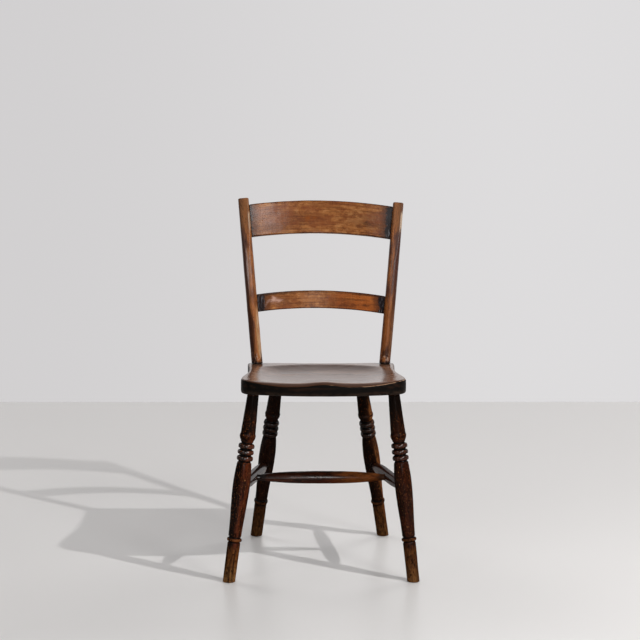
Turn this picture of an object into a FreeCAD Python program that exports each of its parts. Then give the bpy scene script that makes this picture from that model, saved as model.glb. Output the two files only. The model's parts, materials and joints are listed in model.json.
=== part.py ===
import FreeCAD, Part
import math
import os

# A bar-back kitchen chair: a saddled plank seat on four turned legs tied by an
# H of turned stretchers, with two bent back posts that hold a crest rail and a
# mid rail. Millimetres, +Z up, the sitter faces -Y, left and right as seen from
# the front. The origin is on the floor under the middle of the chair.

Vec = FreeCAD.Vector

# Fits
glue_gap = 0.1
socket_end_gap = 1.0

# Seat plank, measured on the flat board before it is tilted
seat_front_y = -235.7
seat_front_height = 466.0
seat_slope = 3.8
seat_depth = 375.0
seat_thickness = 34.0
seat_front_half_width = 187.3
seat_waist_narrowing = 15.0
seat_waist_back = 205.0
seat_rear_narrowing = 12.5
seat_front_bow_radius = 450.0
seat_front_corner_radius = 42.0
seat_rear_corner_radius = 10.0
seat_top_round = 5.0
seat_bottom_round = 6.0

# Saddle carved in the top of the seat
saddle_depth = 14.0
saddle_front_depth = 4.5
saddle_side_rim = 3.0
saddle_wall_power = 5
saddle_rear_rim = 27.0
saddle_rear_curve = 85.0
saddle_rear_wall = 88.0
front_roll_depth = 8.0
front_roll_length = 30.0
pommel_relief = 7.0
pommel_half_width = 36.0
pommel_length = 150.0
rear_rim_wear = 1.2
saddle_grid_step = 10.0
saddle_margin = 20.0

# Leg sockets, measured in from the seat's edges, and the lean of the legs
front_socket_side_inset = 28.3
front_socket_front_inset = 54.0
rear_socket_side_inset = 76.1
rear_socket_rear_inset = 57.0
rear_sockets_shift = -5.5
front_leg_splay = 51.0
front_leg_rake = 31.2
front_feet_shift = -4.5
rear_leg_splay = 56.3
rear_leg_rake = 118.1
leg_tenon_radius = 11.0
leg_socket_cover = 3.0

# Turned legs: heights run along the leg from the floor
leg_foot_radius = 14.2
leg_foot_round = 1.0
leg_shaft_radius = 14.9
leg_ring_height = 98.0
leg_ring_half_length = 5.0
leg_ring_radius = 17.2
leg_calf_height = 150.0
leg_calf_radius = 16.8
leg_swell_height = 222.0
leg_swell_radius = 19.9
leg_lower_neck_height = 279.0
leg_lower_neck_radius = 15.8
leg_bead_count = 3
leg_bead_pitch = 14.0
leg_bead_radius = 18.9
leg_groove_radius = 15.3
leg_upper_neck_length = 7.0
leg_upper_neck_radius = 14.9
leg_cup_rise = 10.8
leg_cup_radius = 18.4
leg_cup_roll = 4.0
leg_top_radius = 13.2

# Turned stretchers
side_stretcher_front_height = 215.0
side_stretcher_rear_height = 190.0
side_stretcher_mid_radius = 14.2
side_stretcher_end_radius = 8.0
cross_stretcher_place = 0.435
cross_stretcher_mid_radius = 15.0
cross_stretcher_end_radius = 7.5
stretcher_taper_length = 42.0
stretcher_taper_radius = 10.4
stretcher_past_axis = 3.0

# Back posts
post_side_inset = 22.8
post_rear_inset = 22.0
post_splay = 33.5
post_top_height = 818.0
post_left_extra = 10.0
post_sweep_back = 85.0
post_bend = 10.0
post_base_radius = 13.5
post_top_radius = 12.9
post_flat_depth = 3.4
post_flat_length = 150.0
post_top_round = 1.5
post_tenon_radius = 9.5
wedge_length = 25.0
wedge_butt_thickness = 3.4
wedge_tip_thickness = 0.8

# Back rails: drops run down the posts from their tops to the rail's middle
rail_thickness = 13.0
rail_edge_round = 2.5
rail_tenon_thickness = 8.0
rail_tenon_shoulder = 6.0
rail_tenon_past_axis = 3.0
rail_left_extra_drop = 5.0
crest_drop = 51.3
crest_height = 80.0
crest_arch = 19.6
crest_bow = 32.2
mid_drop = 249.0
mid_height = 43.0
mid_arch = 14.4
mid_bow = 34.1
peg_radius = 3.0
peg_inset = 3.5
peg_depth = 5.5
peg_proud = 0.6

seat_waist_half_width = seat_front_half_width - seat_waist_narrowing
seat_rear_half_width = seat_front_half_width - seat_rear_narrowing
leg_tenon_length = seat_thickness - saddle_depth - leg_socket_cover - socket_end_gap
post_base_half_spacing = seat_rear_half_width - post_side_inset
seat_place = FreeCAD.Placement(
    Vec(0, seat_front_y, seat_front_height),
    FreeCAD.Rotation(Vec(1, 0, 0), -seat_slope),
)
seat_up = seat_place.Rotation.multVec(Vec(0, 0, 1))
big = 2 * seat_depth


def on_seat(across, back, up):
    """A point of the seat board, given across, back from its front edge and up."""
    return seat_place.multVec(Vec(across, back, up))


def placed(shape, placement):
    """A copy of the shape moved to a placement."""
    moved = shape.copy()
    moved.Placement = placement.multiply(shape.Placement)
    return moved


def along(start, direction):
    """The placement that stands a piece drawn up +Z on a start and direction."""
    return FreeCAD.Placement(start, FreeCAD.Rotation(Vec(0, 0, 1), direction))


def rod(start, end, radius):
    """A plain round rod between two points."""
    return Part.makeCylinder(radius, (end - start).Length, start, end - start)


def largest(shape):
    """The largest solid left by a cut."""
    return max(shape.Solids, key=lambda solid: solid.Volume)


def revolved(edges):
    """A turning: edges of (radius, height) profile closed on the axis and spun."""
    face = Part.Face(Part.Wire(edges))
    return face.revolve(Vec(0, 0, 0), Vec(0, 0, 1), 360)


def profile_line(low, high):
    """A straight stretch of a turning's profile, between (radius, height) points."""
    return Part.LineSegment(Vec(low[0], 0, low[1]), Vec(high[0], 0, high[1])).toShape()


def profile_arc(low, middle, high):
    """A round stretch of a turning's profile through three points."""
    points = [Vec(radius, 0, height) for radius, height in (low, middle, high)]
    return Part.Arc(*points).toShape()


def profile_curve(points):
    """A fair curve of a turning's profile through its points."""
    curve = Part.BSplineCurve()
    curve.interpolate([Vec(radius, 0, height) for radius, height in points])
    return curve.toShape()


def smooth_step(value):
    """0 below 0, 1 above 1, and an even slope between them."""
    t = min(max(value, 0.0), 1.0)
    return t * t * (3 - 2 * t)


def saddle_drop(across, back):
    """How deep the saddle is carved at a point of the board."""
    side = abs(across)
    flare = 1 - smooth_step((back - seat_front_corner_radius) / seat_waist_back)
    widening = seat_front_half_width - seat_waist_half_width
    half_width = seat_waist_half_width - saddle_side_rim + widening * flare
    wall = 1 - min(side / half_width, 1.0) ** saddle_wall_power
    rim_bend = saddle_rear_curve * (across / seat_rear_half_width) ** 2
    lowest = seat_depth - saddle_rear_rim - rim_bend - saddle_rear_wall
    behind_edge = max(back - across**2 / (2 * seat_front_bow_radius), 0.0)
    deepening = math.sin(math.pi / 2 * min(behind_edge / lowest, 1.0))
    floor = saddle_front_depth + (saddle_depth - saddle_front_depth) * deepening
    run_out = min(max((back - lowest) / saddle_rear_wall, 0.0), 1.0)
    roll = front_roll_depth * max(1 - behind_edge / front_roll_length, 0.0) ** 2
    nearness = max(1 - max(back, 0.0) / pommel_length, 0.0) ** 2
    pommel = pommel_relief * nearness * math.exp(-((across / pommel_half_width) ** 2))
    worn_width = max(1 - (across / post_base_half_spacing) ** 2, 0.0) ** 2
    worn_rim = rear_rim_wear * worn_width * smooth_step(run_out)
    carved = (floor * (1 - run_out**2) + roll) * wall**2
    return carved - pommel * wall + worn_rim


def seat_top_face():
    """The saddled top as one smooth face over the whole board and a margin."""
    reach = seat_front_half_width + saddle_margin
    columns = int(2 * reach / saddle_grid_step) + 1
    rows = int((seat_depth + 2 * saddle_margin) / saddle_grid_step) + 1
    step_across = 2 * reach / (columns - 1)
    step_back = (seat_depth + 2 * saddle_margin) / (rows - 1)
    heights = [
        [
            -saddle_drop(-reach + i * step_across, -saddle_margin + j * step_back)
            for j in range(rows)
        ]
        for i in range(columns)
    ]
    surface = Part.BSplineSurface()
    surface.interpolate(heights, -reach, step_across, -saddle_margin, step_back)
    return surface.toShape()


def seat_outline():
    """The board's outline: bowed front, round front corners, waisted sides."""
    bow = seat_front_bow_radius
    corner = seat_front_corner_radius
    corner_x = seat_front_half_width - corner
    corner_y = bow - math.sqrt((bow - corner) ** 2 - corner_x**2)
    outward = Vec(corner_x, corner_y - bow, 0).normalize()
    joint = Vec(0, bow, 0) + outward * bow
    diagonal = (outward + Vec(1, 0, 0)).normalize()
    widest = Vec(seat_front_half_width, corner_y, 0)
    corner_middle = Vec(corner_x, corner_y, 0) + diagonal * corner
    front_edge = Part.Arc(Vec(-joint.x, joint.y, 0), Vec(0, 0, 0), joint).toShape()
    corner_edge = Part.Arc(joint, corner_middle, widest).toShape()
    rear = seat_rear_corner_radius
    side_end = Vec(seat_rear_half_width, seat_depth - rear, 0)
    side = Part.BSplineCurve()
    side.interpolate(
        Points=[widest, Vec(seat_waist_half_width, seat_waist_back, 0), side_end],
        InitialTangent=Vec(0, 1, 0),
        FinalTangent=Vec(0, 1, 0),
    )
    rear_centre = side_end - Vec(rear, 0, 0)
    rear_middle = rear_centre + Vec(rear, rear, 0) * math.sqrt(0.5)
    rear_end = rear_centre + Vec(0, rear, 0)
    rear_corner = Part.Arc(side_end, rear_middle, rear_end).toShape()
    right_side = [corner_edge, side.toShape(), rear_corner]
    left_side = [edge.mirror(Vec(0, 0, 0), Vec(1, 0, 0)) for edge in right_side]
    rear_edge = Part.LineSegment(rear_end, Vec(-rear_end.x, rear_end.y, 0)).toShape()
    edges = [front_edge, rear_edge] + right_side + left_side
    return Part.Wire(Part.__sortEdges__(edges))


def seat_board():
    """The board cut to its outline, saddled, with its edges eased."""
    rise = saddle_depth
    outline = Part.Face(seat_outline())
    board = outline.extrude(Vec(0, 0, seat_thickness + rise))
    board.translate(Vec(0, 0, -seat_thickness))
    lower = [e for e in board.Edges if e.BoundBox.ZMax < -seat_thickness + glue_gap]
    board = board.makeFillet(seat_bottom_round, lower)
    board = largest(board.cut(seat_top_face().extrude(Vec(0, 0, 2 * seat_thickness))))
    upper = [e for e in board.Edges if e.BoundBox.ZMin > -2 * saddle_depth]
    board = board.makeFillet(seat_top_round, upper)
    return placed(board, seat_place)


def front_leg_axis(side):
    """A front leg's line: its foot and its point on the seat's underside."""
    across = side * (seat_front_half_width - front_socket_side_inset)
    top = on_seat(across, front_socket_front_inset, -seat_thickness)
    foot = Vec(across + side * front_leg_splay + front_feet_shift, top.y - front_leg_rake, 0)
    return foot, top


def rear_leg_axis(side):
    """A rear leg's line: its foot and its point on the seat's underside."""
    across = side * (seat_rear_half_width - rear_socket_side_inset)
    back = seat_depth - rear_socket_rear_inset
    top = on_seat(across + rear_sockets_shift, back, -seat_thickness)
    return Vec(across + side * rear_leg_splay, top.y + rear_leg_rake, 0), top


def at_height(axis, height):
    """The point of a leg's line at a height above the floor."""
    foot, top = axis
    return foot + (top - foot) * (height / top.z)


def leg_turning(length):
    """A leg on the lathe, from below the floor cut to past the seat's underside."""
    spare = 2 * leg_foot_radius
    ring_low = leg_ring_height - leg_ring_half_length
    ring_high = leg_ring_height + leg_ring_half_length
    edges = [
        profile_line((0, -spare), (leg_foot_radius, -spare)),
        profile_line((leg_foot_radius, -spare), (leg_shaft_radius, ring_low)),
        profile_arc(
            (leg_shaft_radius, ring_low),
            (leg_ring_radius, leg_ring_height),
            (leg_shaft_radius, ring_high),
        ),
        profile_curve(
            [
                (leg_shaft_radius, ring_high),
                (leg_calf_radius, leg_calf_height),
                (leg_swell_radius, leg_swell_height),
                (leg_lower_neck_radius, leg_lower_neck_height),
            ]
        ),
    ]
    low = (leg_lower_neck_radius, leg_lower_neck_height)
    for bead in range(leg_bead_count):
        last = bead == leg_bead_count - 1
        high_radius = leg_upper_neck_radius if last else leg_groove_radius
        high = (high_radius, low[1] + leg_bead_pitch)
        edges.append(profile_arc(low, (leg_bead_radius, low[1] + leg_bead_pitch / 2), high))
        low = high
    neck = (leg_upper_neck_radius, low[1] + leg_upper_neck_length)
    cup_height = neck[1] + leg_cup_rise
    roll = leg_cup_roll * math.sqrt(0.5)
    cup_side = (leg_cup_radius - leg_cup_roll + roll, cup_height - roll)
    edges += [
        profile_line(low, neck),
        profile_line(neck, cup_side),
        profile_arc(
            cup_side,
            (leg_cup_radius, cup_height),
            (cup_side[0], cup_height + roll),
        ),
        profile_line((cup_side[0], cup_height + roll), (leg_top_radius, length)),
        profile_line((leg_top_radius, length), (leg_top_radius, length + spare)),
        profile_line((leg_top_radius, length + spare), (0, length + spare)),
        profile_line((0, length + spare), (0, -spare)),
    ]
    return revolved(edges)


def below_floor():
    """The room under the floor, which trims the feet level."""
    return Part.makeBox(big, big, big, Vec(-big / 2, -big / 2, -big))


def above_board_level(level):
    """The room above a level of the seat board."""
    corner = Vec(-big, -big, level)
    return placed(Part.makeBox(2 * big, 2 * big, big, corner), seat_place)


def below_board_level(level):
    """The room below a level of the seat board."""
    corner = Vec(-big, -big, level - big)
    return placed(Part.makeBox(2 * big, 2 * big, big, corner), seat_place)


def leg_tenon(axis, gap, end_gap):
    """A leg's round tenon in the seat, or its socket when gaps are added."""
    foot, top = axis
    upward = (top - foot).normalize()
    start = top - upward * leg_tenon_radius
    return rod(start, top + upward * (leg_tenon_length + end_gap), leg_tenon_radius + gap)


def leg(axis, stretcher_sockets):
    """A leg: the turning trimmed to the floor and the seat, tenoned and bored."""
    foot, top = axis
    turning = leg_turning((top - foot).Length)
    blank = placed(turning, along(foot, top - foot)).cut(below_floor())
    rim = [e for e in blank.Edges if e.BoundBox.ZMax < glue_gap]
    blank = blank.makeFillet(leg_foot_round, rim)
    blank = largest(blank.cut(above_board_level(-seat_thickness - glue_gap)))
    blank = blank.fuse(leg_tenon(axis, 0, 0)).removeSplitter()
    return largest(blank.cut(stretcher_sockets))


def stretcher_turning(length, mid_radius, end_radius, host_radius):
    """A stretcher on the lathe: thickest in the middle, tapered to round ends."""
    curve = [
        (end_radius, stretcher_past_axis + host_radius + end_radius / 2),
        (stretcher_taper_radius, stretcher_taper_length + stretcher_past_axis),
        (mid_radius, length / 2),
    ]
    mirrored = [(radius, length - height) for radius, height in reversed(curve[:2])]
    first = curve[0][1]
    return revolved(
        [
            profile_line((0, 0), (end_radius, 0)),
            profile_line((end_radius, 0), (end_radius, first)),
            profile_curve(curve + mirrored),
            profile_line((end_radius, length - first), (end_radius, length)),
            profile_line((end_radius, length), (0, length)),
            profile_line((0, length), (0, 0)),
        ]
    )


def stretcher_ends(start, end):
    """A stretcher's tips, a little past the lines of the pieces it joins."""
    outward = (end - start).normalize() * stretcher_past_axis
    return start - outward, end + outward


def stretcher(start, end, mid_radius, end_radius, host_radius):
    """A stretcher set between the lines of two pieces, its hosts."""
    low, high = stretcher_ends(start, end)
    length = (high - low).Length
    turning = stretcher_turning(length, mid_radius, end_radius, host_radius)
    return placed(turning, along(low, high - low))


def stretcher_socket(start, end, end_radius):
    """The boring for the stretcher end at start: the tenon with its gaps."""
    low, _ = stretcher_ends(start, end)
    inward = (end - start).normalize()
    mouth = start + inward * (2 * leg_swell_radius)
    return rod(low - inward * socket_end_gap, mouth, end_radius + glue_gap)


def side_stretcher_line(side):
    """The line of a side stretcher, from its front leg to its rear leg."""
    front = at_height(front_leg_axis(side), side_stretcher_front_height)
    rear = at_height(rear_leg_axis(side), side_stretcher_rear_height)
    return front, rear


def cross_stretcher_line():
    """The line of the cross stretcher, from the left to the right side stretcher."""
    ends = []
    for side in (-1, 1):
        front, rear = side_stretcher_line(side)
        ends.append(front + (rear - front) * cross_stretcher_place)
    return ends


def post_curve(side):
    """A back post's bent line: an arc from the seat's top to the post's top."""
    base = on_seat(side * post_base_half_spacing, seat_depth - post_rear_inset, 0)
    height = post_top_height + (post_left_extra if side < 0 else 0)
    top = Vec(base.x + side * post_splay, base.y + post_sweep_back, height)
    chord = (top - base).normalize()
    forward = (Vec(0, -1, 0) + chord * chord.y).normalize()
    middle = (base + top) * 0.5 + forward * post_bend
    edge = Part.Arc(base, middle, top).toShape()
    return Part.ArcOfCircle(edge.Curve, *edge.ParameterRange)


def post_frame(curve, drop):
    """Where a post's line is, its upward and forward ways, at a drop from its top."""
    at = curve.LastParameter - drop / curve.Circle.Radius
    point = curve.Circle.value(at)
    upward = curve.Circle.tangent(at)[0]
    forward = (point - curve.Circle.Center).normalize()
    return point, upward, forward


def post_flat(curve):
    """The wood planed off the front of a post near its top."""
    top, upward, forward = post_frame(curve, 0)
    low, _, low_forward = post_frame(curve, post_flat_length)
    across = upward.cross(forward) * (2 * post_base_radius)
    depth_point = top + forward * (post_top_radius - post_flat_depth)
    low_point = low + low_forward * post_base_radius
    lift = (depth_point - low_point) * 0.5
    out = forward * (2 * post_base_radius)
    corners = [low_point - lift, depth_point + lift]
    corners += [corners[1] + out, corners[0] + out, corners[0]]
    face = Part.Face(Part.makePolygon([corner - across for corner in corners]))
    return face.extrude(across * 2)


def post_blank(side, gap):
    """A back post bent, tapered, planed and topped, before its joints are cut."""
    curve = post_curve(side)
    below = post_base_radius * 2 / curve.Circle.Radius
    path = Part.ArcOfCircle(
        curve.Circle, curve.FirstParameter - below, curve.LastParameter
    )
    sections = []
    for at, radius in (
        (path.FirstParameter, post_base_radius),
        (path.LastParameter, post_top_radius),
    ):
        tangent = curve.Circle.tangent(at)[0]
        ring = Part.Circle(curve.Circle.value(at), tangent, radius + gap)
        sections.append(Part.Wire(ring.toShape()))
    post = Part.Wire(path.toShape()).makePipeShell(sections, True, False)
    flat = post_flat(curve)
    flat.translate(post_frame(curve, 0)[2] * gap)
    return largest(post.cut(flat))


def post_tenon(side, gap):
    """A post's round tenon through the seat, or its socket when a gap is added."""
    curve = post_curve(side)
    base = curve.StartPoint
    upward = curve.Circle.tangent(curve.FirstParameter)[0]
    top = base + upward * (2 * post_tenon_radius)
    return rod(base - upward * (2 * seat_thickness), top, post_tenon_radius + gap)


def post_wedge(side, gap):
    """The wedge that spreads a post's tenon from below, or its kerf with a gap."""
    curve = post_curve(side)
    upward = curve.Circle.tangent(curve.FirstParameter)[0]
    butt = curve.StartPoint - upward * (seat_thickness / upward.dot(seat_up))
    taper = (wedge_butt_thickness - wedge_tip_thickness) / 2 / wedge_length
    tip = wedge_tip_thickness / 2 + gap
    tip_z = wedge_length + gap
    low_z = -2 * post_tenon_radius
    low = wedge_butt_thickness / 2 - taper * low_z + gap
    corners = [Vec(-low, 0, low_z), Vec(low, 0, low_z), Vec(tip, 0, tip_z)]
    corners += [Vec(-tip, 0, tip_z), Vec(-low, 0, low_z)]
    sheet = Part.Face(Part.makePolygon(corners))
    sheet.translate(Vec(0, -big / 2, 0))
    wedge = placed(sheet.extrude(Vec(0, big, 0)), along(butt, upward))
    return wedge.common(post_tenon(side, gap)).cut(below_board_level(-seat_thickness))


def back_post(side, mortises):
    """A back post: scribed to the seat, tenoned through it, mortised and kerfed."""
    post = largest(post_blank(side, 0).cut(below_board_level(glue_gap)))
    tenon = post_tenon(side, 0).cut(below_board_level(-seat_thickness))
    post = post.fuse(tenon).removeSplitter()
    post = largest(post.cut([post_wedge(side, glue_gap / 2)] + mortises))
    top, upward, _ = post_frame(post_curve(side), 0)
    rim = [
        edge
        for edge in post.Edges
        if all(abs((v.Point - top).dot(upward)) < glue_gap for v in edge.Vertexes)
    ]
    return post.makeFillet(post_top_round, rim)


def rail_place(drop):
    """The placement of a rail: midway between the posts at a drop from their tops."""
    left, left_up, _ = post_frame(post_curve(-1), drop + rail_left_extra_drop)
    right, right_up, _ = post_frame(post_curve(1), drop)
    across = (right - left).normalize()
    back = (left_up + right_up).cross(across).normalize()
    upward = across.cross(back)
    turn = FreeCAD.Rotation(across, back, upward, "ZXY")
    return FreeCAD.Placement((left + right) * 0.5, turn), (right - left).Length / 2


def bar(half_span, reach, height, thickness, arch, bow):
    """A bowed and arched bar, level, reaching to both sides of its middle."""
    radius = (half_span**2 + bow**2) / (2 * bow)
    centre = Vec(0, bow - radius, 0)

    def on_bow(across, offset):
        r = radius + offset
        return centre + Vec(across * r / radius, math.sqrt(r**2 - (across * r / radius) ** 2), 0)

    half = thickness / 2
    outer = Part.Arc(on_bow(-reach, half), on_bow(0, half), on_bow(reach, half))
    inner = Part.Arc(on_bow(-reach, -half), on_bow(0, -half), on_bow(reach, -half))
    ends = [
        Part.LineSegment(on_bow(side * reach, -half), on_bow(side * reach, half))
        for side in (-1, 1)
    ]
    edges = [curve.toShape() for curve in [outer, inner] + ends]
    plan = Part.Face(Part.Wire(Part.__sortEdges__(edges)))
    tall = height + 4 * arch
    band = plan.extrude(Vec(0, 0, tall))
    band.translate(Vec(0, 0, -tall / 2))
    arch_radius = (half_span**2 + arch**2) / (2 * arch)

    def on_arch(across, level):
        fall = arch_radius - math.sqrt(arch_radius**2 - across**2)
        return Vec(across, -half_span, level + arch - fall)

    wide = half_span + 2 * thickness
    upper = Part.Arc(
        on_arch(-wide, height / 2), on_arch(0, height / 2), on_arch(wide, height / 2)
    )
    lower = Part.Arc(
        on_arch(-wide, -height / 2), on_arch(0, -height / 2), on_arch(wide, -height / 2)
    )
    sides = [
        Part.LineSegment(on_arch(side * wide, -height / 2), on_arch(side * wide, height / 2))
        for side in (-1, 1)
    ]
    edges = [curve.toShape() for curve in [upper, lower] + sides]
    front = Part.Face(Part.Wire(Part.__sortEdges__(edges)))
    return largest(band.common(front.extrude(Vec(0, 2 * half_span, 0))))


def rail_tenons(drop, height, arch, bow, gap, end_gap):
    """A rail's thinner core that ends in its tenons, or the mortises with gaps."""
    place, half_span = rail_place(drop)
    core = bar(
        half_span,
        half_span + rail_tenon_past_axis + end_gap,
        height - 2 * rail_tenon_shoulder + 2 * gap,
        rail_tenon_thickness + 2 * gap,
        arch,
        bow,
    )
    return placed(core, place)


def rail_peg(side, drop, gap, end_gap):
    """A peg driven from the back through a post into a rail's tenon."""
    place, half_span = rail_place(drop)
    across = side * (half_span - peg_inset)
    surface = math.sqrt(post_top_radius**2 - peg_inset**2)
    start = place.multVec(Vec(across, -peg_depth - end_gap, 0))
    end = place.multVec(Vec(across, surface + peg_proud + end_gap, 0))
    return rod(start, end, peg_radius + gap)


def rail(drop, height, arch, bow):
    """A back rail: rounded, scribed to both posts, tenoned and pegged."""
    place, half_span = rail_place(drop)
    body = bar(half_span, half_span, height, rail_thickness, arch, bow)
    long_edges = [e for e in body.Edges if e.Length > half_span]
    body = placed(body.makeFillet(rail_edge_round, long_edges), place)
    body = largest(body.cut([post_blank(side, glue_gap) for side in (-1, 1)]))
    body = body.fuse(rail_tenons(drop, height, arch, bow, 0, 0)).removeSplitter()
    holes = [rail_peg(side, drop, glue_gap / 2, 0) for side in (-1, 1)]
    return largest(body.cut(holes))


def build():
    """Every piece of the chair, by name."""
    pieces = {}
    names = {-1: "left", 1: "right"}
    crest = (crest_drop, crest_height, crest_arch, crest_bow)
    mid = (mid_drop, mid_height, mid_arch, mid_bow)

    seat_cuts = []
    for side, name in names.items():
        front, rear = side_stretcher_line(side)
        for place, axis, start, end in (
            ("front", front_leg_axis(side), front, rear),
            ("rear", rear_leg_axis(side), rear, front),
        ):
            socket = stretcher_socket(start, end, side_stretcher_end_radius)
            pieces[f"leg_{place}_{name}"] = leg(axis, socket)
            seat_cuts.append(leg_tenon(axis, glue_gap, socket_end_gap))
        mortises = []
        for drop, height, arch, bow in (crest, mid):
            mortises.append(rail_tenons(drop, height, arch, bow, glue_gap, socket_end_gap))
            mortises.append(rail_peg(side, drop, glue_gap / 2, 0))
        pieces[f"back_post_{name}"] = back_post(side, mortises)
        pieces[f"post_wedge_{name}"] = largest(post_wedge(side, 0))
        seat_cuts.append(post_tenon(side, glue_gap))
        pieces[f"crest_rail_peg_{name}"] = rail_peg(side, crest_drop, 0, 0)
        pieces[f"mid_rail_peg_{name}"] = rail_peg(side, mid_drop, 0, 0)

    pieces["seat"] = largest(seat_board().cut(seat_cuts))
    pieces["crest_rail"] = rail(*crest)
    pieces["mid_rail"] = rail(*mid)

    left_end, right_end = cross_stretcher_line()
    pieces["cross_stretcher"] = stretcher(
        left_end,
        right_end,
        cross_stretcher_mid_radius,
        cross_stretcher_end_radius,
        side_stretcher_mid_radius,
    )
    sockets = {
        -1: stretcher_socket(left_end, right_end, cross_stretcher_end_radius),
        1: stretcher_socket(right_end, left_end, cross_stretcher_end_radius),
    }
    for side, name in names.items():
        turning = stretcher(
            *side_stretcher_line(side),
            side_stretcher_mid_radius,
            side_stretcher_end_radius,
            leg_swell_radius,
        )
        pieces[f"side_stretcher_{name}"] = largest(turning.cut(sockets[side]))
    return pieces


os.makedirs("parts", exist_ok=True)
for node, shape in build().items():
    shape.exportStep(f"parts/{node}.step")
    print(f"{node}: {len(shape.Solids)} solid, {shape.Volume / 1000:.1f} cm3, valid {shape.isValid()}")
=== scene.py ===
# %% [markdown]
# # An old bar-back kitchen chair
# The chair is a saddled plank on four turned legs, with two bent posts and two bowed rails
# for a back. We could draw it again by eye, but a imported CAD model already has the exact shapes,
# and its pieces fit each other. So we load that model first, and spend this lesson on the look of
# a hundred years of use.

# %% Load the chair
import json
import math

import bpy
import numpy as np
from mathutils import Matrix, Vector


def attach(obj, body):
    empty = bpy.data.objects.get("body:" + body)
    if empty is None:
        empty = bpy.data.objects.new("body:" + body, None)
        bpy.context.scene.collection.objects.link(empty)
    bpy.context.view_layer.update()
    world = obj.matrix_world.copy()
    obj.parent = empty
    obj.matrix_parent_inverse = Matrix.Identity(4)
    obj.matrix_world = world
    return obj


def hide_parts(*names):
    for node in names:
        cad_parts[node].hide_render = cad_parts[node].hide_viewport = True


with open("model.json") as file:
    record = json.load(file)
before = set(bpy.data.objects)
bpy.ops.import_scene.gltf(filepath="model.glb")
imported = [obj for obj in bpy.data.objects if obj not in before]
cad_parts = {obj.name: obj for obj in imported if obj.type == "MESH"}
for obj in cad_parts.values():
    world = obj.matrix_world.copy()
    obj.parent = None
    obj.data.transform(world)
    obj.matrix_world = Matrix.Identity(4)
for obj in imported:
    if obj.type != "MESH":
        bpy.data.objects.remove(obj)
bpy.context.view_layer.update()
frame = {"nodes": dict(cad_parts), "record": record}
print("nodes", sorted(frame["nodes"]))

# %% [markdown]
# ## The camera
# The photograph was taken from a little below standing eye height with a long lens, so upright
# lines stay nearly upright. A camera can be turned by eye until the picture looks right. Here its
# place and lens were worked out from the chair's feet and seat, so that every edge can be compared
# with the photograph. A photographer is hardly ever exactly in line with a chair: this camera is
# turned by about one degree and rolled by about a quarter of a degree as well.

# %% Place the camera
camera_heading = math.radians(1.18)
camera_pitch = math.radians(9.50)
camera_roll = math.radians(0.22)
camera_distance = 5.365
camera_height = 1.465
camera_offset = 0.0051
focal_pixels = 2337.8
image_pixels = 640

lens = bpy.data.cameras.new("photo_lens")
lens.sensor_width = 36.0
lens.lens = lens.sensor_width * focal_pixels / image_pixels
camera = bpy.data.objects.new("photo_camera", lens)
bpy.context.scene.collection.objects.link(camera)
turn = Matrix.Rotation(-camera_heading, 4, "Z")
spot = turn @ Vector((-camera_offset, -camera_distance, camera_height))
tilt = Matrix.Rotation(math.pi / 2 - camera_pitch, 4, "X") @ Matrix.Rotation(camera_roll, 4, "Z")
camera.matrix_world = Matrix.Translation(spot) @ turn @ tilt
bpy.context.scene.camera = camera
bpy.context.scene.view_settings.view_transform = "Standard"
print("camera at", [round(v, 3) for v in spot], "lens", round(lens.lens, 1), "mm")

# %% [markdown]
# ## Shader sums in plain Python
# A material is a web of small nodes. Wiring them by hand hides the thought behind them, so one
# small class holds a node's socket and lets us write `1 - mask * 0.5` as we would on paper.
# Every other node comes from its one method, `make`. Colours are three numbers: how much red,
# green and blue light the wood sends back.

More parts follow.
